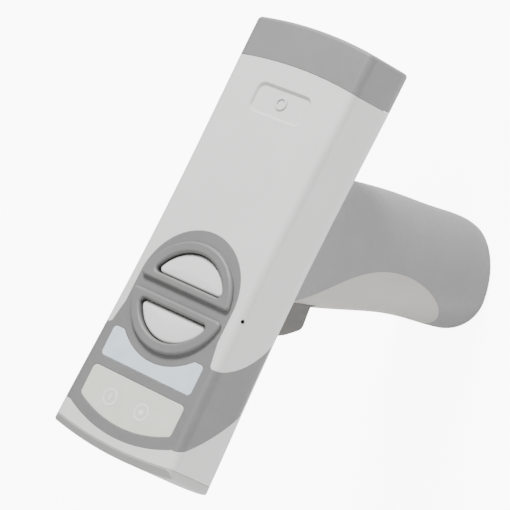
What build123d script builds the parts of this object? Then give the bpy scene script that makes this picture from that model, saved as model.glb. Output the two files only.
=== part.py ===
from build123d import *
import os
from math import cos, radians, sin, sqrt

os.makedirs("parts", exist_ok=True)

# ---------------------------------------------------------------- driving dimensions (mm)
# Frame: the handle stands upright on its base, +X towards the read end, +Z up.
head_tilt = 12.0                      # the head points this many degrees above level
head_origin = (-57.8, 0, 119.1)       # rear end of the deck, on the centre line

# Head: along = distance from the rear end, half-width, depth under the deck.
head_stations = [(-6, 22.2, 26.0), (18, 22.0, 26.0), (58, 21.4, 26.0), (94, 22.0, 26.3), (140, 23.4, 27.2)]
deck_radius, keel_radius = 2.6, 9.0   # rounding of the upper and lower long edges
end_bow = 1.8                         # how far both ends bulge at the middle
bow_half = 22.0
rear_end, front_end = -2.4, 133.3
rear_lean = 0.11                      # the rear end and the cap's seam lean back by this much per mm of depth
cap_seam, front_seam = 10.3, 130.8
front_bevel = 2.1                     # slope along the front's upper edge
cap_edge, front_edge = 1.2, 0.6       # rounding of the end faces
wall, cap_wall, inlay = 2.2, 1.8, 1.2
parting = -20.0                       # height of the joint between top and belly shells
slip = 0.1                            # gap between neighbouring shells
tongue = 2.6                          # how far the shell reaches back under the cap's rear wall

# Keypad
key_centre = 84.4                     # along the head
key_radius, rim_outer_radius = 13.35, 16.95
key_gap = 0.35                        # around each button
key_flat, rim_outer_flat = 4.6, 1.75  # straight edges of the two D shapes, from the centre
key_top, rim_top = 0.5, 1.5            # the buttons' tops lie below the rims that guard them
stem_offset = 8.4                     # each button's stem and dome, fore and aft of the ring centre
key_low, flange_low, stem_low = -3.0, -3.4, -5.6
membrane_face = -7.35                 # underside of the membrane's raised part, over the domes
dome_height = 1.3

# Status lens and label window, along the head and half-width
lens_rear, lens_width, lens_half, lens_inner_radius = 99.2, 9.3, 17.4, 20.2
label_rear, label_half, label_radius = 111.6, 17.7, 40.6
front_sweep_centre, front_sweep = 80.4, 48.0   # arc of the bezel's front edge

# Handle: height, rear end, front end, half-thickness; its widest line is at x = handle_belly.
handle_belly = 4.5
handle_stations = [
    (0, -18.2, 18.6, 15.9), (3, -18.9, 18.6, 16.1), (20, -19.9, 17.8, 15.6), (42, -20.7, 17.6, 14.8),
    (66, -21.1, 19.3, 14.6), (90, -21.4, 20.4, 15.0), (116, -22.4, 21.6, 16.0),
]
sleeve_wall, frame_wall = 1.8, 2.0
base_thickness = 3.0

# Antenna: a flat coil on a ferrite bar across the read end
antenna_height = -12.6
bobbin_rear, bobbin_length, bobbin_rim = 117.0, 10.5, 1.4

# Trigger
pivot_x, pivot_z = 12.5, 101.5
pin_diameter, pin_length = 3.0, 19.0
trigger_half, slot_half = 7.0, 7.5
slot_floor = 81.3

# Battery: round cell standing in the handle
cell_x, cell_low, cell_length, cell_radius = 0.5, 9.5, 65.0, 9.2

# ---------------------------------------------------------------- planes
tilt_sin, tilt_cos = sin(radians(head_tilt)), cos(radians(head_tilt))
deck = Plane(origin=head_origin, x_dir=(tilt_cos, 0, tilt_sin), z_dir=(-tilt_sin, 0, tilt_cos))
head_side = Plane(origin=head_origin, x_dir=(tilt_cos, 0, tilt_sin), z_dir=(0, -1, 0))
handle_side = Plane.XZ                # sketch x is X, sketch y is Z
along_head = Axis(head_origin, (tilt_cos, 0, tilt_sin))
up_from_deck = Axis(head_origin, (-tilt_sin, 0, tilt_cos))


def head_station(along):
    """Plane across the head at a distance from its rear end: sketch x is Y, sketch y is up."""
    origin = deck.from_local_coords((along, 0, 0))
    return Plane(origin=origin, x_dir=(0, 1, 0), z_dir=(tilt_cos, 0, tilt_sin))


def head_form(inset=0.0):
    """Rounded box of the head, pulled in all round by inset and longer than the head."""
    with BuildPart() as form:
        for along, half, depth in head_stations:
            with BuildSketch(head_station(along)) as ring:
                with Locations((0, -depth / 2)):
                    Rectangle(2 * (half - inset), depth - 2 * inset)
                fillet(ring.vertices().group_by(Axis.Y)[-1], max(deck_radius - inset, 0.6))
                fillet(ring.vertices().group_by(Axis.Y)[0], max(keel_radius - inset, 1.0))
        loft()
    return form.part


def ahead_of(end, bow=end_bow, lean=0.0):
    """Everything in front of a line across the head that bulges back by bow at the middle.

    With a lean, the cut moves back by that much for each mm of depth.
    """
    side, reach, low, high = 32.0, 170.0, -40.0, 8.0
    spread = bow * (side / bow_half) ** 2
    foot = end + lean * low
    with BuildPart() as front:
        with BuildSketch(deck.offset(low)):
            with BuildLine():
                ThreePointArc((foot + spread, -side), (foot, 0), (foot + spread, side))
                Polyline((foot + spread, side), (foot + reach, side),
                         (foot + reach, -side), (foot + spread, -side))
            make_face()
        rise = Vector(lean, 0, 1)
        upwards = deck.from_local_coords(rise) - deck.origin
        extrude(amount=(high - low) * rise.length, dir=upwards)
    return front.part


def deck_prism(outline, low, high):
    """Prism over an outline drawn on the deck."""
    with BuildPart() as prism:
        with BuildSketch(deck.offset(low)):
            add(outline)
        extrude(amount=high - low)
    return prism.part


def handle_form(inset=0.0):
    """Egg-section handle, pulled in all round by inset, running up into the head."""
    with BuildPart() as form:
        for height, rear, front, half in handle_stations:
            with BuildSketch(Plane.XY.offset(height)):
                with BuildLine():
                    EllipticalCenterArc((handle_belly, 0), handle_belly - rear - inset, half - inset,
                                        start_angle=90, arc_size=180)
                    EllipticalCenterArc((handle_belly, 0), front - handle_belly - inset, half - inset,
                                        start_angle=270, arc_size=180)
                make_face()
        loft()
    return form.part


def d_shape(radius, flat, front):
    """Half disc with its straight side at a distance flat from the ring centre."""
    start = flat if front else -flat
    chord = sqrt(radius ** 2 - flat ** 2)
    far = radius if front else -radius
    with BuildSketch() as shape:
        with BuildLine():
            ThreePointArc((key_centre + start, -chord), (key_centre + far, 0), (key_centre + start, chord))
            Line((key_centre + start, chord), (key_centre + start, -chord))
        make_face()
        fillet(shape.vertices(), 1.2)
    return shape.sketch


def lens_shape(gap=0.0):
    """Crescent of the status light: a bar whose rear edge follows the button ring."""
    with BuildSketch() as shape:
        with Locations((lens_rear + lens_width / 2, 0)):
            Rectangle(lens_width + 2 * gap, 2 * (lens_half + gap))
        with Locations((key_centre, 0)):
            Circle(lens_inner_radius - gap, mode=Mode.SUBTRACT)
        fillet(shape.vertices(), 1.3)
    return shape.sketch


def label_shape(gap=0.0):
    """Window with a straight rear edge and a bowed front edge."""
    length = 20.0
    with BuildSketch() as shape:
        with Locations((label_rear - gap + length / 2, 0)):
            Rectangle(length, 2 * (label_half + gap))
        with Locations((key_centre, 0)):
            Circle(label_radius + gap, mode=Mode.INTERSECT)
        fillet(shape.vertices(), 1.5)
    return shape.sketch


def grip_panel_prism():
    """Prism over the crescent of the handle's front that the grip sleeve leaves bare."""
    with BuildPart() as prism:
        with BuildSketch(handle_side):
            with BuildLine():
                Spline((20.0, 97.5), (8.6, 83.5), (2.0, 57.0), (6.4, 31.7), (19.0, 12.0))
                Polyline((19.0, 12.0), (40.0, 12.0), (40.0, 97.5), (20.0, 97.5))
            make_face()
        extrude(amount=30, both=True)
    return prism.part


def trigger_slot():
    """Opening through the handle's front for the trigger and its switch."""
    with BuildPart() as slot:
        with BuildSketch(handle_side):
            with BuildLine():
                Polyline((12.0, slot_floor), (40.0, slot_floor), (40.0, 125.0), (12.0, 125.0), close=True)
            make_face()
        extrude(amount=slot_half, both=True)
    return slot.part


def across_pin(radius, x, z, low, high):
    """Round bar along Y at x, z, from y = low to y = high."""
    with BuildPart() as bar:
        with BuildSketch(Plane.XZ.offset(-high)):
            with Locations((x, z)):
                Circle(radius)
        extrude(amount=high - low)
    return bar.part


# Shared solids, each worked out once.
head_outside, head_inlay = head_form(), head_form(inlay)
head_neck, head_inside = head_form(cap_wall), head_form(wall)
handle_outside, handle_core = handle_form(), handle_form(sleeve_wall)
handle_inside = handle_form(sleeve_wall + frame_wall)
panel_prism, slot_prism = grip_panel_prism(), trigger_slot()

rear_key, front_key = d_shape(key_radius, key_flat, False), d_shape(key_radius, key_flat, True)
rear_hole = d_shape(key_radius + key_gap, key_flat - key_gap, False)
front_hole = d_shape(key_radius + key_gap, key_flat - key_gap, True)

# Both head shells in one: walls all round, stepped in at the rear to go under the cap.
front_block = ahead_of(front_seam, -end_bow)
behind_cap = ahead_of(cap_seam, lean=rear_lean)
shell_block = (head_outside & ahead_of(rear_end + tongue, lean=rear_lean)) - front_block
shell_block -= (head_outside - head_neck) - behind_cap
shell_block -= head_inside & ahead_of(rear_end + tongue + wall, lean=rear_lean)

# Fasteners: places on the deck plane (along, across).
board_posts = [(16.5, -14.5), (16.5, 14.5), (61.5, -15), (61.5, 15), (103.5, -15.4), (103.5, 15.4)]
belly_posts = [(24, -13), (24, 13), (112, -12.5), (112, 12.5)]
neck_posts = [(39, -6.5), (39, 6.5), (57, -8.5), (57, 8.5)]
frame_posts = [(-12.6, 20.0), (-12.6, 64.0), (-4.0, 84.0)]   # X, Z on the handle's side view
base_posts = [(-10.0, 6.5), (11.0, -5.5)]
screw_seat = -5.6                      # Y of the shoulder under the heads of the frame screws

board_top, board_thickness = -9.4, 1.6
ribbon_along = 48                      # where the handle's ribbon comes up through the belly
light_along = 106.6                    # row of lamps and the light guide over them
buzzer_place, buzzer_vent = (86, 10), (83.1, 14)
belly_floor = -23.65                   # just over the inner floor of the belly shell
belly_seat = -24.9                     # shoulder under the heads of the belly screws


# ---------------------------------------------------------------- skin inlay region
def inlay_region():
    """Where the soft keypad bezel covers the shell: round the keys, then down both flanks."""
    ridge = 20.0
    waist = 17.9
    tip = 99.0                        # where the white of each flank runs out to a point
    with BuildPart() as region:
        with BuildSketch(deck.offset(-inlay)):
            with Locations((82.2, 0)):
                Ellipse(18.6, waist)
            with BuildLine():
                Polyline((83, -waist), (91.5, -waist), (98.3, -19.2), (tip, -ridge), (140, -ridge),
                         (140, ridge), (tip, ridge), (98.3, 19.2), (91.5, waist), (83, waist), close=True)
            make_face()
            with Locations((front_sweep_centre, 0)):
                Circle(front_sweep, mode=Mode.INTERSECT)
        extrude(amount=3)
        front = front_sweep_centre + sqrt(front_sweep ** 2 - ridge ** 2)
        for side in (-1, 1):
            with BuildSketch(head_side.offset(-side * ridge)):
                with BuildLine():
                    ThreePointArc((tip, 0), (94.8, -10.5), (84.5, parting - slip))
                    Line((84.5, parting - slip), (107.0, parting - slip))
                    ThreePointArc((107.0, parting - slip), (117.2, -10.0), (front, 0))
                    Polyline((front, 0), (front, 1), (tip, 1), (tip, 0))
                make_face()
            extrude(amount=-side * 10)
    return region.part


bezel_region = inlay_region()

recess_place, recess_depth = 21.8, 0.8
sound_hole = Plane(origin=deck.from_local_coords((83.2, 21.4, -1.4)), x_dir=(tilt_cos, 0, tilt_sin),
                   z_dir=deck.from_local_coords((0, 0.75, 0.66)) - deck.origin)

# ---------------------------------------------------------------- top shell
with BuildPart() as top_shell:
    add(shell_block)
    with BuildSketch(deck.offset(parting)):
        with Locations((65, 0)):
            Rectangle(160, 60)
    extrude(amount=30, mode=Mode.INTERSECT)
    add(bezel_region - head_inlay, mode=Mode.SUBTRACT)
    for hole in (rear_hole, front_hole):
        add(deck_prism(hole, -5, 5), mode=Mode.SUBTRACT)
    # Light wells under the status lens and the label window.
    with BuildSketch(deck.offset(-4)):
        with Locations((light_along, 0)):
            Rectangle(2.4, 24.4)
        with Locations((117.2, -8), (117.2, 8)):
            Circle(3.2)
    extrude(amount=6, mode=Mode.SUBTRACT)
    # Shallow finger recess near the rear with sloping sides, and a plain raised ring in it.
    with BuildSketch(deck):
        with Locations((recess_place, 0)):
            RectangleRounded(9.4, 20, 2.6)
    extrude(amount=-recess_depth, taper=35, mode=Mode.SUBTRACT)
    with BuildSketch(deck.offset(-recess_depth - 0.1)):
        with Locations((recess_place - 0.3, 0)):
            Circle(2.0)
            Circle(1.35, mode=Mode.SUBTRACT)
    extrude(amount=0.5)
    # Sound hole over the buzzer, through the rounded edge between deck and flank.
    with BuildSketch(sound_hole.offset(-5)):
        Circle(0.6)
    extrude(amount=8, mode=Mode.SUBTRACT)
    # Board posts, with pilot holes.
    with BuildSketch(deck.offset(board_top)):
        with Locations(*board_posts):
            Circle(2.4)
            Circle(0.9, mode=Mode.SUBTRACT)
    extrude(amount=-board_top - wall + 0.5)
    # Corner posts that take the belly screws.
    with BuildSketch(deck.offset(parting)):
        with Locations(*belly_posts):
            Circle(2.6)
            Circle(1.0, mode=Mode.SUBTRACT)
    extrude(amount=8)
    with BuildSketch(deck.offset(parting + 8)):
        with Locations(*belly_posts):
            Circle(2.6)
    extrude(amount=-parting - 8 - wall + 0.5)
top_shell.part.label = "top_shell"
export_step(top_shell.part, "parts/top_shell.step")

# ---------------------------------------------------------------- belly shell
with BuildPart() as belly_shell:
    add(shell_block)
    with BuildSketch(deck.offset(parting - slip)):
        with Locations((65, 0)):
            Rectangle(160, 60)
    extrude(amount=-20, mode=Mode.INTERSECT)
    # Passage for the handle ribbon, and holes for the neck and belly screws.
    with BuildSketch(deck.offset(-30)):
        with Locations((ribbon_along, 0)):
            RectangleRounded(10, 14, 2)
        with Locations(*neck_posts):
            Circle(1.4)
        with Locations(*belly_posts):
            Circle(1.4)
    extrude(amount=8, mode=Mode.SUBTRACT)
    with BuildSketch(deck.offset(-28)):
        with Locations(*belly_posts):
            Circle(2.5)
    extrude(amount=28 + belly_seat, mode=Mode.SUBTRACT)
belly_shell.part.label = "belly_shell"
export_step(belly_shell.part, "parts/belly_shell.step")

# ---------------------------------------------------------------- rear cap
with BuildPart() as rear_cap:
    add(head_outside)
    add(ahead_of(rear_end, lean=rear_lean), mode=Mode.INTERSECT)
    add(ahead_of(cap_seam - slip, lean=rear_lean), mode=Mode.SUBTRACT)
    fillet(rear_cap.faces().sort_by(along_head)[0].edges(), cap_edge)
    add(head_neck & ahead_of(rear_end + tongue - slip, lean=rear_lean), mode=Mode.SUBTRACT)
rear_cap.part.label = "rear_cap"
export_step(rear_cap.part, "parts/rear_cap.step")

# ---------------------------------------------------------------- front cover
with BuildPart() as front_cover:
    add(head_outside & ahead_of(front_seam + slip, -end_bow))
    add(ahead_of(front_end, -end_bow), mode=Mode.SUBTRACT)
    fillet(front_cover.faces().sort_by(along_head)[-1].edges(), front_edge)
    add(ahead_of(front_end - front_bevel, -end_bow, lean=-1), mode=Mode.SUBTRACT)
front_cover.part.label = "front_cover"
export_step(front_cover.part, "parts/front_cover.step")

# ---------------------------------------------------------------- front gasket
with BuildPart() as front_gasket:
    add(head_form(wall + 0.1))
    add(head_form(wall + 1.3), mode=Mode.SUBTRACT)
    add(ahead_of(front_seam - 1.4, -end_bow) - front_block, mode=Mode.INTERSECT)
front_gasket.part.label = "front_gasket"
export_step(front_gasket.part, "parts/front_gasket.step")

# ---------------------------------------------------------------- keypad bezel
with BuildPart() as keypad_bezel:
    add(bezel_region & (head_outside - head_inlay))
    for front in (False, True):
        add(deck_prism(d_shape(rim_outer_radius, rim_outer_flat, front), -0.2, rim_top))
    for hole in (rear_hole, front_hole):
        add(deck_prism(hole, -5, 5), mode=Mode.SUBTRACT)
    rims = keypad_bezel.faces().filter_by(
        lambda face: abs(deck.to_local_coords(face.center()).Z - rim_top) < 0.01)
    fillet(rims.edges(), 0.85)
    add(deck_prism(lens_shape(0.1), -5, 5), mode=Mode.SUBTRACT)
    add(deck_prism(label_shape(0.1), -5, 5), mode=Mode.SUBTRACT)
keypad_bezel.part.label = "keypad_bezel"
export_step(keypad_bezel.part, "parts/keypad_bezel.step")

# ---------------------------------------------------------------- buttons
for name, cap, flange in (
    ("rear_button", rear_key, d_shape(key_radius + 1.2, key_flat - 1.4, False)),
    ("front_button", front_key, d_shape(key_radius + 1.2, key_flat - 1.4, True)),
):
    stem_side = 1 if name == "front_button" else -1
    with BuildPart() as button:
        with BuildSketch(deck.offset(key_low)):
            add(cap)
        extrude(amount=key_top - key_low)
        fillet(button.faces().sort_by(up_from_deck)[-1].edges(), 0.9)
        with BuildSketch(deck.offset(flange_low)):
            add(flange)
        extrude(amount=0.8)
        with BuildSketch(deck.offset(stem_low)):
            with Locations((key_centre + stem_side * stem_offset, 0)):
                Circle(2.5)
        extrude(amount=2.4)
    button.part.label = name
    export_step(button.part, f"parts/{name}.step")

# ---------------------------------------------------------------- keypad membrane and domes
with BuildPart() as keypad_membrane:
    with BuildSketch(deck.offset(membrane_face)):
        with Locations((key_centre, 0)):
            RectangleRounded(34, 30, 3)
    extrude(amount=0.8)
    with BuildSketch(deck.offset(board_top)):
        with Locations((key_centre, 0)):
            RectangleRounded(34, 30, 3)
            RectangleRounded(31, 27, 2, mode=Mode.SUBTRACT)
    extrude(amount=membrane_face - board_top)
keypad_membrane.part.label = "keypad_membrane"
export_step(keypad_membrane.part, "parts/keypad_membrane.step")

with BuildPart() as switch_domes:
    for side in (-1, 1):
        with BuildSketch(deck.offset(board_top)):
            with Locations((key_centre + side * stem_offset, 0)):
                Circle(4.0)
        extrude(amount=dome_height)
    crowns = switch_domes.faces().filter_by(
        lambda face: abs(deck.to_local_coords(face.center()).Z - board_top - dome_height) < 0.01)
    chamfer(crowns.edges(), 1.0, 2.6)
switch_domes.part.label = "switch_domes"
export_step(switch_domes.part, "parts/switch_domes.step")

# ---------------------------------------------------------------- lens, light guide, LEDs, label
with BuildPart() as status_lens:
    with BuildSketch(deck.offset(-inlay)):
        add(lens_shape())
    extrude(amount=inlay + 0.05)
status_lens.part.label = "status_lens"
export_step(status_lens.part, "parts/status_lens.step")

with BuildPart() as light_guide:
    with BuildSketch(deck.offset(-7.6)):
        with Locations((light_along, 0)):
            Rectangle(2.2, 24)
    extrude(amount=7.6 - inlay - 0.05)
light_guide.part.label = "light_guide"
export_step(light_guide.part, "parts/light_guide.step")

with BuildPart() as status_leds:
    with BuildSketch(deck.offset(board_top)):
        with Locations(*((light_along, across) for across in (-10, 0, 10))):
            Rectangle(1.6, 3.2)
    extrude(amount=1.1)
status_leds.part.label = "status_leds"
export_step(status_leds.part, "parts/status_leds.step")

with BuildPart() as label_window:
    with BuildSketch(deck.offset(-inlay)):
        add(label_shape())
    extrude(amount=inlay + 0.05)
label_window.part.label = "label_window"
export_step(label_window.part, "parts/label_window.step")

# ---------------------------------------------------------------- boards and what is on them
with BuildPart() as main_board:
    with BuildSketch(deck.offset(board_top - board_thickness)):
        with Locations((64.5, 0)):
            RectangleRounded(99, 36, 2)
        with Locations(*board_posts):
            Circle(1.3, mode=Mode.SUBTRACT)
        with Locations(*belly_posts):
            Circle(2.9, mode=Mode.SUBTRACT)
        with Locations(buzzer_vent):
            Circle(1.0, mode=Mode.SUBTRACT)
    extrude(amount=board_thickness)
main_board.part.label = "main_board"
export_step(main_board.part, "parts/main_board.step")

with BuildPart() as board_screws:
    for along, across in board_posts:
        with BuildSketch(deck.offset(board_top - board_thickness - 1.4)):
            with Locations((along, across)):
                Circle(1.9)
        extrude(amount=1.4)
        with BuildSketch(deck.offset(board_top - board_thickness)):
            with Locations((along, across)):
                Circle(0.88)
        extrude(amount=board_thickness + 4)
board_screws.part.label = "board_screws"
export_step(board_screws.part, "parts/board_screws.step")

with BuildPart() as radio_shield:
    with BuildSketch(deck.offset(board_top)):
        with Locations((42, 0)):
            RectangleRounded(30, 24, 1)
    extrude(amount=4.2)
    fillet(radio_shield.faces().sort_by(up_from_deck)[-1].edges(), 0.4)
    with BuildSketch(deck.offset(board_top)):
        with Locations((42, 0)):
            Rectangle(29.4, 23.4)
    extrude(amount=3.8, mode=Mode.SUBTRACT)
radio_shield.part.label = "radio_shield"
export_step(radio_shield.part, "parts/radio_shield.step")

with BuildPart() as controller_chip:
    with BuildSketch(deck.offset(board_top - board_thickness - 1.2)):
        with Locations((72, -4)):
            Rectangle(10, 10)
    extrude(amount=1.2)
controller_chip.part.label = "controller_chip"
export_step(controller_chip.part, "parts/controller_chip.step")

with BuildPart() as buzzer:
    with BuildSketch(deck.offset(board_top - board_thickness - 4.0)):
        with Locations(buzzer_place):
            Circle(6)
    extrude(amount=4.0)
    with BuildSketch(deck.offset(board_top - board_thickness - 0.8)):
        with Locations(buzzer_place):
            Circle(2)
    extrude(amount=0.8, mode=Mode.SUBTRACT)
buzzer.part.label = "buzzer"
export_step(buzzer.part, "parts/buzzer.step")

with BuildPart() as ribbon_connector:
    with BuildSketch(deck.offset(board_top - board_thickness - 2.0)):
        with Locations((ribbon_along, 0)):
            Rectangle(4, 12)
    extrude(amount=2.0)
ribbon_connector.part.label = "ribbon_connector"
export_step(ribbon_connector.part, "parts/ribbon_connector.step")

# ---------------------------------------------------------------- antenna
with BuildPart() as ferrite_core:
    with BuildSketch(head_station(116.5)):
        with Locations((0, antenna_height)):
            RectangleRounded(28, 8, 1)
    extrude(amount=11.5)
ferrite_core.part.label = "ferrite_core"
export_step(ferrite_core.part, "parts/ferrite_core.step")

with BuildPart() as antenna_bobbin:
    with BuildSketch(head_station(bobbin_rear)):
        with Locations((0, antenna_height)):
            RectangleRounded(31, 11, 2)
    extrude(amount=bobbin_length)
    for along in (bobbin_rear, bobbin_rear + bobbin_length - bobbin_rim):
        with BuildSketch(head_station(along)):
            with Locations((0, antenna_height)):
                RectangleRounded(36.5, 16, 3)
        extrude(amount=bobbin_rim)
    with BuildSketch(head_station(bobbin_rear - 7)):
        with Locations((0, antenna_height)):
            RectangleRounded(28.2, 8.2, 1)
    extrude(amount=30, mode=Mode.SUBTRACT)
antenna_bobbin.part.label = "antenna_bobbin"
export_step(antenna_bobbin.part, "parts/antenna_bobbin.step")

with BuildPart() as antenna_coil:
    with BuildSketch(head_station(bobbin_rear + bobbin_rim + 0.1)):
        with Locations((0, antenna_height)):
            RectangleRounded(34.6, 14.6, 3)
            RectangleRounded(31.1, 11.1, 2.05, mode=Mode.SUBTRACT)
    extrude(amount=bobbin_length - 2 * bobbin_rim - 0.2)
antenna_coil.part.label = "antenna_coil"
export_step(antenna_coil.part, "parts/antenna_coil.step")

# ---------------------------------------------------------------- head screws
with BuildPart() as belly_screws:
    for along, across in belly_posts:
        with BuildSketch(deck.offset(belly_seat)):
            with Locations((along, across)):
                Circle(2.2)
        extrude(amount=-1.0)
        with BuildSketch(deck.offset(belly_seat)):
            with Locations((along, across)):
                Circle(0.98)
        extrude(amount=10)
belly_screws.part.label = "belly_screws"
export_step(belly_screws.part, "parts/belly_screws.step")

with BuildPart() as neck_screws:
    for along, across in neck_posts:
        with BuildSketch(deck.offset(belly_floor)):
            with Locations((along, across)):
                Circle(2.3)
        extrude(amount=1.6)
        with BuildSketch(deck.offset(belly_floor)):
            with Locations((along, across)):
                Circle(1.0)
        extrude(amount=-8)
neck_screws.part.label = "neck_screws"
export_step(neck_screws.part, "parts/neck_screws.step")


# ---------------------------------------------------------------- handle frame halves
def frame_bosses():
    """Screw bosses, battery shelves and trigger cheeks, kept inside the frame's own skin."""
    with BuildPart() as bosses:
        with BuildSketch(deck.offset(-38)):
            with Locations(*neck_posts):
                Circle(3.1)
        extrude(amount=13)
        for x, z in frame_posts:
            add(across_pin(2.8, x, z, -20, 20))
        with BuildSketch(Plane.XY.offset(base_thickness)):
            with Locations(*base_posts):
                Circle(3.4)
        extrude(amount=4.2)
        for height in (cell_low - 2.5, cell_low + cell_length + 0.6):
            with BuildSketch(Plane.XY.offset(height)):
                Rectangle(60, 40)
                with Locations((cell_x, 0)):
                    Circle(4.0, mode=Mode.SUBTRACT)
            extrude(amount=1.2)
        for edge in (-1, 1):
            with BuildSketch(handle_side.offset(-edge * slot_half)):
                with Locations((14.5, 101.5)):
                    Rectangle(11, 18)
            extrude(amount=-edge * 6)
        add(handle_core, mode=Mode.INTERSECT)
    return bosses.part


bosses = frame_bosses()


def handle_frame(side):
    """One half of the handle's hard frame, split on the centre plane; side is 1 for left."""
    with BuildPart() as frame:
        add(handle_core)
        add(handle_outside & panel_prism)
        add(handle_inside, mode=Mode.SUBTRACT)
        add(bosses)
        add(slot_prism, mode=Mode.SUBTRACT)
        add(across_pin(pin_diameter / 2, pivot_x, pivot_z, -pin_length / 2, pin_length / 2),
            mode=Mode.SUBTRACT)
        for x, z in frame_posts:
            add(across_pin(0.9, x, z, -20, 6.5), mode=Mode.SUBTRACT)
            add(across_pin(2.1, x, z, -20, screw_seat), mode=Mode.SUBTRACT)
        with BuildSketch(deck.offset(-34)):
            with Locations(*neck_posts):
                Circle(1.0)
        extrude(amount=20, mode=Mode.SUBTRACT)
        with BuildSketch(Plane.XY.offset(base_thickness)):
            with Locations(*base_posts):
                Circle(1.0)
        extrude(amount=4.2, mode=Mode.SUBTRACT)
        add(head_outside, mode=Mode.SUBTRACT)
        with BuildSketch(Plane.XY):
            Rectangle(60, 60)
        extrude(amount=base_thickness, mode=Mode.SUBTRACT)
        split(bisect_by=Plane.XZ, keep=Keep.BOTTOM if side > 0 else Keep.TOP)
    return frame.part


for name, side in (("handle_frame_left", 1), ("handle_frame_right", -1)):
    handle_half = handle_frame(side)
    handle_half.label = name
    export_step(handle_half, f"parts/{name}.step")

with BuildPart() as frame_screws:
    for x, z in frame_posts:
        add(across_pin(0.9, x, z, screw_seat, 6.0))
        add(across_pin(2.0, x, z, screw_seat - 1.4, screw_seat))
frame_screws.part.label = "frame_screws"
export_step(frame_screws.part, "parts/frame_screws.step")

# ---------------------------------------------------------------- grip sleeve
with BuildPart() as grip_sleeve:
    add(handle_outside)
    fillet(grip_sleeve.edges().group_by(Axis.Z)[0], 1.4)
    add(handle_core, mode=Mode.SUBTRACT)
    add(panel_prism, mode=Mode.SUBTRACT)
    add(slot_prism, mode=Mode.SUBTRACT)
    add(head_outside, mode=Mode.SUBTRACT)
grip_sleeve.part.label = "grip_sleeve"
export_step(grip_sleeve.part, "parts/grip_sleeve.step")

# ---------------------------------------------------------------- base
with BuildPart() as base_plate:
    add(handle_core)
    with BuildSketch(Plane.XY):
        Rectangle(60, 60)
    extrude(amount=base_thickness, mode=Mode.INTERSECT)
    with BuildSketch(Plane.XY):
        with Locations(*base_posts):
            Circle(1.15)
        with Locations((-2.5, 0), (5.5, 0)):
            Circle(1.7)
    extrude(amount=base_thickness, mode=Mode.SUBTRACT)
    with BuildSketch(Plane.XY):
        with Locations(*base_posts):
            Circle(2.3)
    extrude(amount=1.6, mode=Mode.SUBTRACT)
base_plate.part.label = "base_plate"
export_step(base_plate.part, "parts/base_plate.step")

with BuildPart() as base_screws:
    for x, y in base_posts:
        with BuildSketch(Plane.XY.offset(0.3)):
            with Locations((x, y)):
                Circle(2.1)
        extrude(amount=1.3)
        with BuildSketch(Plane.XY.offset(1.6)):
            with Locations((x, y)):
                Circle(0.98)
        extrude(amount=5.2)
base_screws.part.label = "base_screws"
export_step(base_screws.part, "parts/base_screws.step")

with BuildPart() as charge_contacts:
    for x in (-2.5, 5.5):
        with BuildSketch(Plane.XY.offset(0.2)):
            with Locations((x, 0)):
                Circle(1.65)
        extrude(amount=base_thickness + 1.0)
charge_contacts.part.label = "charge_contacts"
export_step(charge_contacts.part, "parts/charge_contacts.step")

# ---------------------------------------------------------------- battery
with BuildPart() as battery:
    with BuildSketch(Plane.XY.offset(cell_low)):
        with Locations((cell_x, 0)):
            Circle(cell_radius)
    extrude(amount=cell_length - 1.0)
    fillet(battery.edges(), 0.8)
    with BuildSketch(Plane.XY.offset(cell_low + cell_length - 1.0)):
        with Locations((cell_x, 0)):
            Circle(2.9)
    extrude(amount=1.0)
battery.part.label = "battery"
export_step(battery.part, "parts/battery.step")

for name, low, bump_low in (
    ("lower_battery_contact", cell_low - 1.3, cell_low - 0.8),
    ("upper_battery_contact", cell_low + cell_length + 0.1, cell_low + cell_length),
):
    with BuildPart() as contact:
        with BuildSketch(Plane.XY.offset(low)):
            with Locations((cell_x, 0)):
                RectangleRounded(12, 8, 1.5)
        extrude(amount=0.5)
        with BuildSketch(Plane.XY.offset(bump_low)):
            with Locations((cell_x, 0)):
                Circle(2.2)
        extrude(amount=0.8 if bump_low < cell_low else 0.1)
    contact.part.label = name
    export_step(contact.part, f"parts/{name}.step")

# ---------------------------------------------------------------- trigger
with BuildPart() as trigger:
    with BuildSketch(handle_side) as blade:
        with BuildLine():
            Polyline((13.9, 94.0), (13.9, 82.4), (26.6, 82.8), (29.2, 90.5), (30.4, 98.5), (30.7, 110.0),
                     (11.6, 105.9), (8.3, 101.6), close=True)
        make_face()
        fillet(blade.vertices().filter_by_position(Axis.X, 26, 27), 2.6)
        fillet(blade.vertices().filter_by_position(Axis.X, 28, 30.55), 20)
        fillet(blade.vertices().sort_by(Axis.Y)[-1], 1.6)
    extrude(amount=trigger_half, both=True)
    front_edges = trigger.edges().filter_by(
        lambda edge: edge.center().X > 26.5 and abs(abs(edge.center().Y) - trigger_half) < 0.01)
    fillet(front_edges, 1.5)
    # Pocket for the return spring, open at the top and the rear, and the bore for the pin.
    add(across_pin(4.3, pivot_x, pivot_z, -2.9, 2.9), mode=Mode.SUBTRACT)
    with BuildSketch(handle_side):
        with Locations((pivot_x - 3.5, pivot_z + 3.5)):
            Rectangle(9, 9)
        with Locations((pivot_x + 2.4, pivot_z - 6.0)):
            Rectangle(2.4, 12)
    extrude(amount=2.9, both=True, mode=Mode.SUBTRACT)
    add(across_pin(pin_diameter / 2 + 0.05, pivot_x, pivot_z, -10, 10), mode=Mode.SUBTRACT)
trigger.part.label = "trigger"
export_step(trigger.part, "parts/trigger.step")

trigger_pin = across_pin(pin_diameter / 2, pivot_x, pivot_z, -pin_length / 2, pin_length / 2)
trigger_pin.label = "trigger_pin"
export_step(trigger_pin, "parts/trigger_pin.step")

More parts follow.
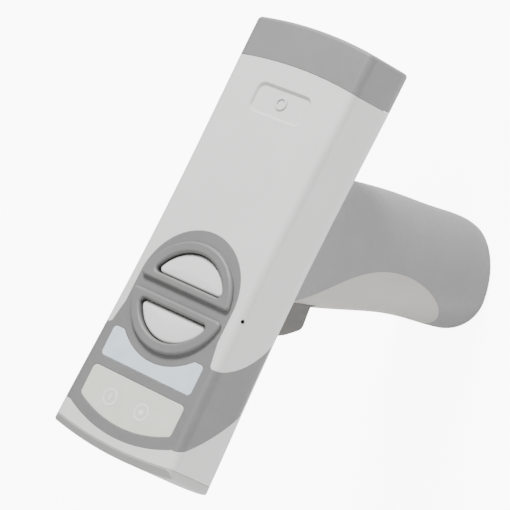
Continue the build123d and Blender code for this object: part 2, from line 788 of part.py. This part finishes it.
# Return spring: a coil about the pin with one leg down the trigger and one towards the handle.
coil_radius, wire_radius, coil_pitch, coil_turns = 2.5, 0.4, 1.0, 4.25
with BuildPart() as trigger_spring:
    with BuildLine():
        coil = Helix(coil_pitch, coil_pitch * coil_turns, coil_radius,
                     center=(pivot_x, -coil_pitch * coil_turns / 2, pivot_z), direction=(0, 1, 0))
    with BuildSketch(Plane(origin=coil @ 0, z_dir=coil % 0)):
        Circle(wire_radius)
    sweep(is_frenet=True)
    for end, reach in ((0, (-5.5, 0, 0)), (1, (0, 0, -9))):
        with BuildSketch(Plane(origin=coil @ end, z_dir=reach)):
            Circle(wire_radius)
        extrude(amount=Vector(*reach).length)
trigger_spring.part.label = "trigger_spring"
export_step(trigger_spring.part, "parts/trigger_spring.step")

# ---------------------------------------------------------------- trigger board, switch, ribbon
switch_board_x, switch_board_thickness, switch_body = 6.9, 1.2, 3.2
with BuildPart() as trigger_board:
    with BuildSketch(Plane.YZ.offset(switch_board_x)):
        with Locations((0, 90)):
            Rectangle(10, 16)
    extrude(amount=switch_board_thickness)
trigger_board.part.label = "trigger_board"
export_step(trigger_board.part, "parts/trigger_board.step")

with BuildPart() as trigger_switch:
    with BuildSketch(Plane.YZ.offset(switch_board_x + switch_board_thickness)):
        with Locations((0, 89)):
            RectangleRounded(6, 6, 0.5)
    extrude(amount=switch_body)
    with BuildSketch(Plane.YZ.offset(switch_board_x + switch_board_thickness + switch_body)):
        with Locations((0, 89)):
            Circle(1.6)
    extrude(amount=0.9)
trigger_switch.part.label = "trigger_switch"
export_step(trigger_switch.part, "parts/trigger_switch.step")

with BuildPart() as handle_ribbon:
    with BuildSketch(handle_side):
        with BuildLine():
            ribbon_top = deck.from_local_coords((ribbon_along, 0, board_top - board_thickness - 2.0))
            ribbon_neck = deck.from_local_coords((ribbon_along, 0, -27.0))
            FilletPolyline((6.7, 86.0), (6.7, 98.5), (ribbon_neck.X, ribbon_neck.Z),
                           (ribbon_top.X, ribbon_top.Z), radius=2.5)
        trace(line_width=0.3)
    extrude(amount=4, both=True)
handle_ribbon.part.label = "handle_ribbon"
export_step(handle_ribbon.part, "parts/handle_ribbon.step")
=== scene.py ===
from math import cos, pi, radians, sin

import bmesh
import bpy
from mathutils import Matrix, Vector


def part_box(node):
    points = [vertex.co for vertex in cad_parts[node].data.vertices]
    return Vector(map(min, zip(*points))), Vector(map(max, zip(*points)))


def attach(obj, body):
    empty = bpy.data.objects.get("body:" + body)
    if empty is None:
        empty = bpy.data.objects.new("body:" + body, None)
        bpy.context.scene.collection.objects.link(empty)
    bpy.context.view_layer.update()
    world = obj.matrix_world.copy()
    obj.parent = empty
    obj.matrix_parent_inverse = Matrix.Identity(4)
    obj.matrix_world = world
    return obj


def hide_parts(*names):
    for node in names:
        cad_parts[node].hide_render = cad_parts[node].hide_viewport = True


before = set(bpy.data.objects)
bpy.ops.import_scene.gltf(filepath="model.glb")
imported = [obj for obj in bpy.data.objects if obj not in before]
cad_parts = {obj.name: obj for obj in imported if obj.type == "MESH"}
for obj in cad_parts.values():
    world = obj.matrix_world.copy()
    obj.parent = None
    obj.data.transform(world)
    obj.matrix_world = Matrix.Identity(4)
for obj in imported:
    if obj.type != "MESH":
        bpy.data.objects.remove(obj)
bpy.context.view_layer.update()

MM = 0.001
HEAD_TILT = radians(12)                       # the head points this far above level
HEAD_ORIGIN = Vector((-57.8, 0.0, 119.1)) * MM  # where along, across and up are zero
FLOOR_GLOW = 8.0                              # emission of the paper under the object


# ---------------------------------------------------------------- places on the head
def deck_direction(along, across, up):
    """Direction given on the head (along, across, up), turned into the frame."""
    return Vector((along * cos(HEAD_TILT) - up * sin(HEAD_TILT), across,
                   along * sin(HEAD_TILT) + up * cos(HEAD_TILT)))


def deck_point(along, across, up):
    """Point given on the head in millimetres, turned into the frame in metres."""
    return HEAD_ORIGIN + deck_direction(along, across, up) * MM


def on_deck(point):
    """Point of the frame in metres, given on the head in millimetres."""
    offset = (Vector(point) - HEAD_ORIGIN) / MM
    return Vector((offset.dot(deck_direction(1, 0, 0)), offset.y, offset.dot(deck_direction(0, 0, 1))))


def deck_box(node):
    """Lowest and highest along, across and up of a CAD node, in millimetres on the head."""
    points = [on_deck(vertex.co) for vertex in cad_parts[node].data.vertices]
    return (Vector(min(p[k] for p in points) for k in range(3)),
            Vector(max(p[k] for p in points) for k in range(3)))


def top_outline(node, count=200):
    """Evenly spaced outline of a CAD node's top face on the head, as (along, across) in mm."""
    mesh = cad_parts[node].data
    top = deck_box(node)[1].z - 0.01               # faces above this belong to the top
    uses, places = {}, {}
    for polygon in mesh.polygons:
        spots = [on_deck(mesh.vertices[k].co) for k in polygon.vertices]
        if all(spot.z > top for spot in spots):
            keys = [(round(spot.x, 2), round(spot.y, 2)) for spot in spots]
            for key, spot in zip(keys, spots):
                places[key] = Vector((spot.x, spot.y))
            for edge in zip(keys, keys[1:] + keys[:1]):
                side = tuple(sorted(edge))
                uses[side] = uses.get(side, 0) + 1
    beside = {}                                    # an edge used once lies on the outline
    for side, times in uses.items():
        if times == 1 and side[0] != side[1]:
            beside.setdefault(side[0], []).append(side[1])
            beside.setdefault(side[1], []).append(side[0])
    loop = [min(beside)]
    previous = None
    for _ in range(len(beside) - 1):
        ahead = [key for key in beside[loop[-1]] if key != previous]
        previous = loop[-1]
        if ahead[0] == loop[0]:
            break
        loop.append(ahead[0])
    points = [places[key] for key in loop]
    area = sum(a.x * b.y - b.x * a.y for a, b in zip(points, points[1:] + points[:1]))
    if area < 0:
        points.reverse()
    return evenly(points, count)


def evenly(points, count):
    """Closed line through points, given by count points at equal steps."""
    closed = points + points[:1]
    lengths = [(b - a).length for a, b in zip(closed, closed[1:])]
    step = sum(lengths) / count
    result, gone, k = [], 0.0, 0
    for i in range(count):
        while k < len(lengths) - 1 and gone + lengths[k] < i * step:
            gone += lengths[k]
            k += 1
        part = (i * step - gone) / lengths[k] if lengths[k] else 0
        result.append(closed[k].lerp(closed[k + 1], part))
    return result


def inset(points, distance):
    """Closed counter-clockwise line moved inwards; a negative distance moves it outwards."""
    result = []
    for before, here, after in zip(points[-1:] + points[:-1], points, points[1:] + points[:1]):
        run = (after - before).normalized()
        result.append(here + Vector((-run.y, run.x)) * distance)
    return result


# ---------------------------------------------------------------- mesh helpers
def new_piece(name, form, body, material, replaced=None):
    """Object from a bmesh, smooth by angle, riding on a body. It may stand for a CAD node."""
    mesh = bpy.data.meshes.new(name)
    bmesh.ops.recalc_face_normals(form, faces=form.faces)
    form.to_mesh(mesh)
    form.free()
    piece = bpy.data.objects.new(name, mesh)
    bpy.context.scene.collection.objects.link(piece)
    for polygon in mesh.polygons:
        polygon.use_smooth = True
    mesh.set_sharp_from_angle(angle=radians(35))
    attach(piece, body)
    if replaced:
        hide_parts(replaced)
    mesh.materials.append(material)


def skin_rings(form, rings, joined=False):
    """Faces between rings of equal count. The two ends are filled in, or joined to each other."""
    rows = [[form.verts.new(point) for point in ring] for ring in rings]
    following_rows = rows[1:] + rows[:1] if joined else rows[1:]
    for low, high in zip(rows, following_rows):
        for k in range(len(low)):
            following = (k + 1) % len(low)
            form.faces.new((low[k], low[following], high[following], high[k]))
    if not joined:
        for row in (rows[0], rows[-1]):
            centre = form.verts.new(sum((v.co for v in row), Vector()) / len(row))
            for k in range(len(row)):
                form.faces.new((row[k], row[(k + 1) % len(row)], centre))


def lathe(form, origin, axis, profile, segments):
    """Turned shape from (distance along the axis, radius) pairs in mm, from one end to the other.

    A third value, True, makes that ring a hexagon, for a screw's socket.
    """
    turn = axis.to_track_quat("Z", "Y").to_matrix()
    side = pi / 3                                  # angle taken up by one side of the hexagon
    rings = []
    for height, radius, *hexagon in profile:
        ring = []
        for k in range(segments):
            angle = 2 * pi * k / segments
            reach = radius * cos(side / 2) / cos(angle % side - side / 2) if hexagon else radius
            ring.append(origin + turn @ Vector((reach * cos(angle), reach * sin(angle), height)) * MM)
        rings.append(ring)
    skin_rings(form, rings)


def islands(node):
    """Vertex places of each separate solid in a CAD node."""
    form = bmesh.new()
    form.from_mesh(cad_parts[node].data)
    bmesh.ops.remove_doubles(form, verts=form.verts, dist=1e-6)
    left = set(form.verts)
    groups = []
    for start in form.verts:                       # in the mesh's order, the same in every run
        if start not in left:
            continue
        left.remove(start)
        stack, group = [start], []
        while stack:
            vertex = stack.pop()
            group.append(vertex.co.copy())
            for edge in vertex.link_edges:
                other = edge.other_vert(vertex)
                if other in left:
                    left.remove(other)
                    stack.append(other)
        groups.append(group)
    form.free()
    return groups


# ---------------------------------------------------------------- materials
def principled(name, colour, roughness, coat=0.0, metallic=0.0, specular=0.5):
    """New material, with its nodes, its links and its shader."""
    material = bpy.data.materials.new(name)
    material.use_nodes = True
    shader = material.node_tree.nodes["Principled BSDF"]
    shader.inputs["Base Color"].default_value = (*colour, 1)
    shader.inputs["Roughness"].default_value = roughness
    shader.inputs["Coat Weight"].default_value = coat
    shader.inputs["Metallic"].default_value = metallic
    shader.inputs["Specular IOR Level"].default_value = specular
    return material, material.node_tree.nodes, material.node_tree.links, shader


def noise(nodes, links, vector, size_mm, detail=3.0):
    """Clouds of about this size, from 0 to 1."""
    texture = nodes.new("ShaderNodeTexNoise")
    texture.inputs["Scale"].default_value = 1 / (size_mm * MM)
    texture.inputs["Detail"].default_value = detail
    links.new(vector, texture.inputs["Vector"])
    return texture.outputs["Fac"]


def ranged(nodes, links, value, low, high, from_low=0.3, from_high=0.7):
    """A value's range stretched to another one, and cut off at its ends."""
    node = nodes.new("ShaderNodeMapRange")
    node.inputs["From Min"].default_value = from_low
    node.inputs["From Max"].default_value = from_high
    node.inputs["To Min"].default_value = low
    node.inputs["To Max"].default_value = high
    links.new(value, node.inputs["Value"])
    return node.outputs["Result"]


def edge_mask(nodes, links, radius_mm):
    """0 on flat stretches, rising towards 1 on outer and inner edges."""
    rounded = nodes.new("ShaderNodeBevel")
    rounded.samples = 6
    rounded.inputs["Radius"].default_value = radius_mm * MM
    geometry = nodes.new("ShaderNodeNewGeometry")
    match = nodes.new("ShaderNodeVectorMath")
    match.operation = "DOT_PRODUCT"
    links.new(rounded.outputs["Normal"], match.inputs[0])
    links.new(geometry.outputs["Normal"], match.inputs[1])
    return ranged(nodes, links, match.outputs["Value"], 1.0, 0.0, 0.75, 1.0), rounded.outputs["Normal"]


def mixed(nodes, links, factor, first, second):
    """Colour between two others. Each may be a colour or another node's output."""
    node = nodes.new("ShaderNodeMix")
    node.data_type = "RGBA"
    for socket, value in ((0, factor), (6, first), (7, second)):
        if isinstance(value, (int, float)):
            node.inputs[socket].default_value = value
        elif isinstance(value, tuple):
            node.inputs[socket].default_value = (*value, 1)
        else:
            links.new(value, node.inputs[socket])
    return node.outputs[2]


def raised(nodes, links, shader, height, strength, height_mm, under=None):
    """Relief on the shader's normal, laid over another normal where one is given."""
    bump = nodes.new("ShaderNodeBump")
    bump.inputs["Strength"].default_value = strength
    bump.inputs["Distance"].default_value = height_mm * MM
    links.new(height, bump.inputs["Height"])
    if under:
        links.new(under, bump.inputs["Normal"])
    links.new(bump.outputs["Normal"], shader.inputs["Normal"])


def moulded(name, colour, roughness, grain_mm=0.35, bump_mm=0.012, mottle=0.03,
            wear_and_highlight=0.12, groove_shade=0.35, soft_edge=0.2):
    """Moulded plastic or rubber.

    Spark-eroded grain, faint clouds of colour, uneven gloss, paler edges that are partly wear and partly a
    painted highlight, and painted shade darkening the grooves.
    """
    material, nodes, links, shader = principled(name, colour, roughness)
    place = nodes.new("ShaderNodeTexCoord").outputs["Object"]
    grain = noise(nodes, links, place, grain_mm)
    cloud = noise(nodes, links, place, 14.0, 4)
    speck = noise(nodes, links, place, 1.6, 5)
    darker = tuple(c * (1 - mottle) for c in colour)
    lighter = tuple(min(c * (1 + mottle), 1.0) for c in colour)
    shade = mixed(nodes, links, ranged(nodes, links, cloud, 0, 1), darker, lighter)
    shade = mixed(nodes, links, ranged(nodes, links, speck, 0, 0.5, 0.35, 0.8), shade, lighter)
    edges, rounded = edge_mask(nodes, links, soft_edge)
    # Paler edges: partly wear, partly a painted highlight along ridges and rims.
    scuff_and_highlight = nodes.new("ShaderNodeMath")
    scuff_and_highlight.operation = "MULTIPLY"
    links.new(edges, scuff_and_highlight.inputs[0])
    links.new(ranged(nodes, links, speck, 0.0, wear_and_highlight, 0.35, 0.6), scuff_and_highlight.inputs[1])
    shade = mixed(nodes, links, scuff_and_highlight.outputs[0], shade, (0.85, 0.85, 0.84))
    # Painted shade: grooves and hollows are darkened towards a quarter of the colour, where shade falls.
    hollow = nodes.new("ShaderNodeAmbientOcclusion")
    hollow.samples = 6
    hollow.inputs["Distance"].default_value = 1.4 * MM
    groove_shade_mask = ranged(nodes, links, hollow.outputs["AO"], groove_shade, 0.0, 0.25, 0.85)
    shade = mixed(nodes, links, groove_shade_mask, shade, tuple(c * 0.25 for c in colour))
    links.new(shade, shader.inputs["Base Color"])
    links.new(ranged(nodes, links, speck, roughness - 0.06, roughness + 0.06), shader.inputs["Roughness"])
    raised(nodes, links, shader, grain, 0.4, bump_mm, rounded)
    return material


def metal(name, colour, roughness):
    """Plain or plated metal: turned or rolled streaks, small colour changes, uneven gloss."""
    brush_mm = 0.25
    material, nodes, links, shader = principled(name, colour, roughness, metallic=1.0)
    place = nodes.new("ShaderNodeTexCoord").outputs["Object"]
    stretch = nodes.new("ShaderNodeMapping")
    stretch.inputs["Scale"].default_value = (1, 6, 1)
    links.new(place, stretch.inputs["Vector"])
    streak = noise(nodes, links, stretch.outputs["Vector"], brush_mm, 2)
    cloud = noise(nodes, links, place, 3.0, 4)
    shade = mixed(nodes, links, ranged(nodes, links, cloud, 0, 1), tuple(c * 0.86 for c in colour), colour)
    links.new(shade, shader.inputs["Base Color"])
    links.new(ranged(nodes, links, streak, roughness - 0.08, roughness + 0.1), shader.inputs["Roughness"])
    raised(nodes, links, shader, streak, 0.25, 0.01)
    return material


def solder_mask():
    """Circuit board: green lacquer in two shades over paler raised tracks."""
    material, nodes, links, shader = principled("board_green", (0.02, 0.13, 0.06), 0.35, coat=0.4)
    place = nodes.new("ShaderNodeTexCoord").outputs["Object"]
    tracks = nodes.new("ShaderNodeTexBrick")
    tracks.inputs["Scale"].default_value = 1 / (5 * MM)
    tracks.inputs["Mortar Size"].default_value = 0.05
    tracks.inputs["Color1"].default_value = (0.016, 0.11, 0.05, 1)
    tracks.inputs["Color2"].default_value = (0.022, 0.14, 0.065, 1)
    tracks.inputs["Mortar"].default_value = (0.05, 0.26, 0.1, 1)
    links.new(place, tracks.inputs["Vector"])
    links.new(tracks.outputs["Color"], shader.inputs["Base Color"])
    cloud = noise(nodes, links, place, 1.2, 4)
    links.new(ranged(nodes, links, cloud, 0.28, 0.42), shader.inputs["Roughness"])
    raised(nodes, links, shader, tracks.outputs["Fac"], 0.5, 0.03)
    return material


def frosted(name, colour, cloud_colour, roughness=0.3, light=0.0):
    """Translucent window: milky colour that drifts, edges painted paler as a highlight, a smooth face, light
    that goes in a little, and a faint painted glow when light is above 0.
    """
    material, nodes, links, shader = principled(name, colour, roughness, coat=0.25)
    shader.inputs["Subsurface Weight"].default_value = 0.3
    shader.inputs["Subsurface Radius"].default_value = (1, 1, 1)
    shader.inputs["Subsurface Scale"].default_value = 1.2 * MM
    place = nodes.new("ShaderNodeTexCoord").outputs["Object"]
    cloud = noise(nodes, links, place, 6.0, 2)
    speck = noise(nodes, links, place, 0.5, 4)
    shade = mixed(nodes, links, ranged(nodes, links, cloud, 0, 1), colour, cloud_colour)
    edges, rounded = edge_mask(nodes, links, 0.35)
    # Painted highlight: the window's edges are made paler.
    shade = mixed(nodes, links, ranged(nodes, links, edges, 0, 0.45, 0, 1), shade, (0.82, 0.83, 0.8))
    links.new(shade, shader.inputs["Base Color"])
    links.new(ranged(nodes, links, speck, roughness - 0.05, roughness + 0.07), shader.inputs["Roughness"])
    # Painted glow: the window gives off a faint light in its own colour.
    if light:
        shader.inputs["Emission Strength"].default_value = light
        links.new(shade, shader.inputs["Emission Color"])
    raised(nodes, links, shader, speck, 0.2, 0.006, rounded)
    return material


white = moulded("white_plastic", (0.60, 0.612, 0.592), 0.46, grain_mm=0.4)
# Painted shade: the white panel plastic gets a darker colour that stands in for the shade on the handle.
panel_white_painted_shade = moulded("panel_plastic_shaded", (0.34, 0.33, 0.305), 0.5, grain_mm=0.4)
cap_grey = moulded("cap_rubber", (0.17, 0.169, 0.168), 0.52, grain_mm=0.3, bump_mm=0.02, mottle=0.05)
bezel_grey = moulded("bezel_rubber", (0.15, 0.149, 0.148), 0.5, grain_mm=0.3, bump_mm=0.02, mottle=0.05,
                     wear_and_highlight=0.3, groove_shade=0.6, soft_edge=0.3)
grip_grey = moulded("grip_rubber", (0.175, 0.171, 0.173), 0.5, grain_mm=0.3, bump_mm=0.025, mottle=0.05)
key_white = moulded("key_plastic", (0.64, 0.648, 0.635), 0.42, grain_mm=0.25, groove_shade=0.5)
# The status lens gets a faint painted glow.
lens_blue = frosted("lens", (0.50, 0.585, 0.68), (0.60, 0.66, 0.72), 0.32, light=0.06)
label_beige = frosted("label", (0.60, 0.61, 0.53), (0.64, 0.645, 0.59), 0.3)
print_white = moulded("label_print", (0.76, 0.77, 0.74), 0.45, mottle=0.08)
# Painted shade: white plastic given a grey colour for the front bevel, which faces away from the key light.
front_white_painted_shade = moulded("front_plastic_shaded", (0.40, 0.404, 0.393), 0.48)
# Near-black: partly the trigger's own dark grey, partly painted shade from the head above it.
trigger_dark_and_shaded = moulded("trigger_plastic_shaded", (0.05, 0.045, 0.038), 0.4, mottle=0.08, wear_and_highlight=0.3)
steel = metal("steel", (0.56, 0.56, 0.57), 0.3)
gold = metal("gold", (0.80, 0.60, 0.26), 0.25)
copper = metal("copper", (0.62, 0.26, 0.12), 0.3)
board_green = solder_mask()
chip_black = moulded("chip_epoxy", (0.025, 0.025, 0.027), 0.55, grain_mm=0.15, mottle=0.15)
ferrite = moulded("ferrite", (0.05, 0.05, 0.055), 0.6, grain_mm=0.2, bump_mm=0.04, mottle=0.2)
silicone = moulded("silicone", (0.50, 0.52, 0.52), 0.6, mottle=0.04)
clear = frosted("clear_guide", (0.78, 0.81, 0.84), (0.84, 0.86, 0.88), 0.15)
amber = frosted("ribbon_film", (0.50, 0.24, 0.05), (0.56, 0.3, 0.08), 0.25)
cell_wrap = frosted("cell_wrap", (0.08, 0.19, 0.40), (0.1, 0.23, 0.46), 0.22)

finish = {
    white: ("top_shell", "belly_shell"),
    panel_white_painted_shade: ("handle_frame_left", "handle_frame_right"),
    cap_grey: ("rear_cap",),
    front_white_painted_shade: ("front_cover",),
    bezel_grey: ("keypad_bezel",),
    grip_grey: ("grip_sleeve", "base_plate"),
    key_white: ("rear_button", "front_button"),
    lens_blue: ("status_lens",),
    label_beige: ("label_window",),
    trigger_dark_and_shaded: ("trigger",),
    gold: ("charge_contacts", "lower_battery_contact", "upper_battery_contact"),
    copper: ("antenna_coil",),
    board_green: ("main_board", "trigger_board"),
    chip_black: ("controller_chip", "buzzer", "ribbon_connector", "antenna_bobbin", "trigger_switch"),
    ferrite: ("ferrite_core",),
    silicone: ("front_gasket", "keypad_membrane"),
    clear: ("light_guide", "status_leds"),
    amber: ("handle_ribbon",),
    cell_wrap: ("battery",),
    steel: ("switch_domes", "board_screws", "radio_shield", "belly_screws", "neck_screws", "frame_screws",
            "base_screws", "trigger_pin", "trigger_spring"),
}
for material, names in finish.items():
    for name in names:
        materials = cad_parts[name].data.materials
        materials.clear()
        materials.append(material)


# ---------------------------------------------------------------- buttons and label
def deck_ring(points, up):
    """Points (along, across) at one height on the head, turned into the frame."""
    return [deck_point(point.x, point.y, up) for point in points]


def button(node):
    """Domed D-shaped cap with a rounded rim, a flange that holds it under the bezel, and a stem."""
    edge = 0.9                                     # radius of the rounded rim
    dome, dome_steps = 0.28, 8
    rim_steps = 7
    flange_low, flange_high = -3.4, -2.6
    flange_reach = edge + 1.15                     # beyond the top face
    stem_radius = 2.5
    low, high = deck_box(node)
    crown = high.z - 0.02                          # a little inside the CAD shape
    face = top_outline(node)
    middle = sum(face, Vector((0, 0))) / len(face)
    rings = []
    for step in range(1, dome_steps + 1):          # dome, from its middle out
        part = step / dome_steps
        ring = [middle.lerp(point, part) for point in face]
        rings.append(deck_ring(ring, crown - dome * part ** 2))
    for step in range(1, rim_steps + 1):
        angle = pi / 2 * step / rim_steps
        drop = dome + edge * (1 - cos(angle))
        rings.append(deck_ring(inset(face, -edge * sin(angle)), crown - drop))
    rings.append(deck_ring(inset(face, -edge), flange_high))
    rings.append(deck_ring(inset(face, -flange_reach), flange_high))
    rings.append(deck_ring(inset(face, -flange_reach), flange_low))
    stem_foot = Vector((middle.x, 0))
    stem = [stem_foot + (point - middle).normalized() * stem_radius for point in face]
    rings.append(deck_ring(stem, flange_low))
    rings.append(deck_ring(stem, low.z))
    form = bmesh.new()
    skin_rings(form, rings)
    new_piece(node + "_cap", form, node, key_white, node)


def flat_shape(form, outer, inner, low, high):
    """Ring or disc between two heights; inner is None for a disc."""
    wall = [deck_ring(outer, low), deck_ring(outer, high)]
    if inner is None:
        skin_rings(form, wall)
    else:
        skin_rings(form, wall + [deck_ring(inner, high), deck_ring(inner, low)], joined=True)


def circle(along, across, radius, count=48, squeeze=1.0):
    """Round outline on the deck; squeeze narrows it across."""
    return [Vector((along + radius * cos(2 * pi * k / count),
                    across + squeeze * radius * sin(2 * pi * k / count))) for k in range(count)]


def label_marks():
    """Two plain round marks printed on the label: a ring with a bar, and a ring with a dot."""
    low, high = deck_box("label_window")
    along = (low.x + high.x) / 2 + 0.2
    bar_mark, dot_mark = -7.4, 4.9                 # across the head
    print_low, print_high = high.z - 0.03, high.z + 0.02
    form = bmesh.new()
    for across in (bar_mark, dot_mark):
        flat_shape(form, circle(along, across, 2.6), circle(along, across, 2.0), print_low, print_high)
    flat_shape(form, circle(along, bar_mark, 1.1, squeeze=0.4), None, print_low, print_high)
    flat_shape(form, circle(along, dot_mark, 0.9), None, print_low, print_high)
    new_piece("label_marks", form, "body", print_white)


for node in ("rear_button", "front_button"):
    button(node)
label_marks()


# ---------------------------------------------------------------- screws
def screws(node, axis):
    """Each screw of a node again, with a domed head, a hexagon socket and a ringed shank."""
    pitch = 0.45
    root = 0.8                                     # bottom of the thread, as a part of the radius
    dome_steps = 4
    form = bmesh.new()
    for group in islands(node):
        along = [point.dot(axis) / MM for point in group]
        top, tip = max(along), min(along)
        head_points = [p for p, a in zip(group, along) if a > top - 0.01]
        centre = sum(head_points, Vector()) / len(head_points)
        axis_foot = centre - axis * centre.dot(axis)
        radial = [((p - axis_foot) - axis * (p - axis_foot).dot(axis)).length / MM for p in group]
        head = max(radial)
        shank = min(r for r in radial if r > 0.3)  # smaller ones are points near the axis
        seat = min(a for a, r in zip(along, radial) if r > head - 0.05)
        profile = [(tip, shank * 0.55), (tip + 0.5, shank * root)]
        height = tip + 0.6
        while height + pitch < seat - 0.2:
            profile += [(height, shank * root), (height + pitch / 2, shank)]
            height += pitch
        profile += [(seat - 0.1, shank * root), (seat, shank * root), (seat, head)]
        thick = top - seat
        for step in range(dome_steps + 1):
            angle = pi / 2 * step / dome_steps
            rise = thick * 0.35 + thick * 0.65 * sin(angle)
            profile.append((seat + rise, head * (0.62 + 0.38 * cos(angle))))
        profile += [(top, head * 0.5, True), (top - thick * 0.6, head * 0.46, True)]
        lathe(form, axis_foot, axis, profile, 36)
    new_piece(node + "_turned", form, "body", steel, node)


screws("belly_screws", deck_direction(0, 0, -1))
screws("board_screws", deck_direction(0, 0, -1))
screws("neck_screws", deck_direction(0, 0, 1))
screws("frame_screws", Vector((0, -1, 0)))
screws("base_screws", Vector((0, 0, -1)))


# ---------------------------------------------------------------- antenna winding and battery
def rounded_rectangle(half_width, half_height, radius, part):
    """Point of a rounded rectangle's line at a part of its way round, from 0 up to 1."""
    inner_x, inner_y = half_width - radius, half_height - radius
    bend = pi / 2 * radius
    # Each side in turn: where it starts, which way it runs, how long it is, and its bend's centre.
    sides = [((inner_x, half_height), (-1, 0), 2 * inner_x, (-inner_x, inner_y)),
             ((-half_width, inner_y), (0, -1), 2 * inner_y, (-inner_x, -inner_y)),
             ((-inner_x, -half_height), (1, 0), 2 * inner_x, (inner_x, -inner_y)),
             ((half_width, -inner_y), (0, 1), 2 * inner_y, (inner_x, inner_y))]
    way = part * (4 * inner_x + 4 * inner_y + 4 * bend)
    for quarter, ((x, y), (dx, dy), straight, (centre_x, centre_y)) in enumerate(sides, 1):
        if way <= straight:
            return x + dx * way, y + dy * way
        way -= straight
        if way <= bend:
            angle = pi / 2 * quarter + way / radius
            return centre_x + radius * cos(angle), centre_y + radius * sin(angle)
        way -= bend
    return inner_x, half_height


def antenna_winding(turns=18, layers=3, points=48, sides=6):
    """Layers of enamelled wire wound side by side on the bobbin, as one closed tube per layer."""
    low, high = deck_box("antenna_coil")
    middle = (low.z + high.z) / 2
    pitch = (high.x - low.x) / (turns + 1)
    wire = pitch / 2 * 0.98                        # radius
    corner, corner_step = 3.0, 0.3                 # bend of the outer layer, and how much less further in
    form = bmesh.new()
    for layer in range(layers):
        half_w = high.y - wire - layer * 2 * wire
        half_h = (high.z - low.z) / 2 - wire - layer * 2 * wire
        line = []
        for k in range(turns * points + 1):
            across, up = rounded_rectangle(half_w, half_h, corner - layer * corner_step, k % points / points)
            line.append(Vector((low.x + wire + pitch * k / points, across, middle + up)))
        rings = []
        for before, here, after in zip(line[:1] + line[:-1], line, line[1:] + line[-1:]):
            run = (after - before).normalized()
            side = run.cross(Vector((1, 0, 0))).normalized()
            lift = side.cross(run)
            ring = [here + (side * cos(2 * pi * s / sides) + lift * sin(2 * pi * s / sides)) * wire
                    for s in range(sides)]
            rings.append([deck_point(*spot) for spot in ring])
        skin_rings(form, rings)
    new_piece("antenna_winding", form, "body", copper, "antenna_coil")


def battery():
    """Round cell: wrapped can with a crimped neck, folded wrap ends and a raised contact."""
    contact_height, contact_radius = 1.0, 2.9
    crimp = 0.35                                   # depth of the neck's groove
    low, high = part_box("battery")
    centre = (Vector(low) + Vector(high)) / 2
    length = (high[2] - low[2]) / MM
    radius = (high[1] - low[1]) / 2 / MM
    body = length - contact_height
    profile = [(0.0, radius - 1.6), (0.0, radius - 0.6), (0.2, radius - 0.2), (0.7, radius)]
    profile += [(body - 4.4, radius), (body - 4.0, radius - crimp)]
    profile += [(body - 3.5, radius - crimp), (body - 3.1, radius)]
    profile += [(body - 0.7, radius), (body - 0.2, radius - 0.2), (body, radius - 0.7)]
    profile += [(body, radius - 2.2), (body - 0.3, radius - 2.3), (body - 0.3, contact_radius + 0.3)]
    profile += [(body, contact_radius), (length - 0.2, contact_radius), (length, contact_radius - 0.3)]
    form = bmesh.new()
    lathe(form, Vector((centre.x, centre.y, low[2])), Vector((0, 0, 1)), profile, 64)
    new_piece("battery_cell", form, "body", cell_wrap, "battery")


antenna_winding()
battery()


# ---------------------------------------------------------------- floor, light, camera
def floor():
    """Wide sheet of white paper that glows, without lighting the object."""
    form = bmesh.new()
    bmesh.ops.create_grid(form, x_segments=8, y_segments=8, size=3.0)
    mesh = bpy.data.meshes.new("floor")
    form.to_mesh(mesh)
    form.free()
    plane = bpy.data.objects.new("floor", mesh)
    bpy.context.scene.collection.objects.link(plane)
    material, nodes, links, shader = principled("floor_paper", (0.9, 0.9, 0.9), 0.95, specular=0.1)
    shader.inputs["Emission Color"].default_value = (1, 1, 1, 1)
    shader.inputs["Emission Strength"].default_value = FLOOR_GLOW
    plane.data.materials.append(material)
    own = bpy.data.collections.new("floor_light")
    own.objects.link(plane)
    plane.light_linking.receiver_collection = own   # the paper's glow stays off the object


def area_light(name, place, target, size, power):
    """Round lamp at a place, turned to a target."""
    light = bpy.data.lights.new(name, "AREA")
    light.shape = "DISK"
    light.size = size
    light.energy = power
    lamp = bpy.data.objects.new(name, light)
    lamp.location = place
    lamp.rotation_euler = (Vector(target) - Vector(place)).to_track_quat("-Z", "Y").to_euler()
    bpy.context.scene.collection.objects.link(lamp)


def camera():
    """Long lens at the photograph's viewpoint, fitted to the deck's straight edges and key ring."""
    place = deck_point(114.34, 374.68, 505.51)
    down = deck_direction(0.89243, 0.32194, -0.31610)
    forward = deck_direction(-0.07981, -0.57690, -0.81291)
    right = down.cross(forward)
    lens = bpy.data.cameras.new("camera")
    lens.lens = 156.04
    lens.sensor_width = 36
    lens.clip_end = 20
    eye = bpy.data.objects.new("camera", lens)
    turn = Matrix((right, -down, -forward)).transposed()
    eye.matrix_world = Matrix.Translation(place) @ turn.to_4x4()
    bpy.context.scene.collection.objects.link(eye)
    bpy.context.scene.camera = eye


floor()
head_middle = deck_point(65, 0, -20)
area_light("key", (-1.15, -0.2, 0.8), head_middle, 0.45, 44)
area_light("fill", (0.7, 1.2, 0.5), head_middle, 1.0, 11)
area_light("front", (1.4, 0.2, 0.5), head_middle, 0.8, 5)
area_light("over", (0.1, 0.1, 1.8), head_middle, 1.2, 16)
world = bpy.data.worlds.new("studio")
world.use_nodes = True
world.node_tree.nodes["Background"].inputs["Color"].default_value = (1, 1, 1, 1)
world.node_tree.nodes["Background"].inputs["Strength"].default_value = 0.3
bpy.context.scene.world = world
camera()
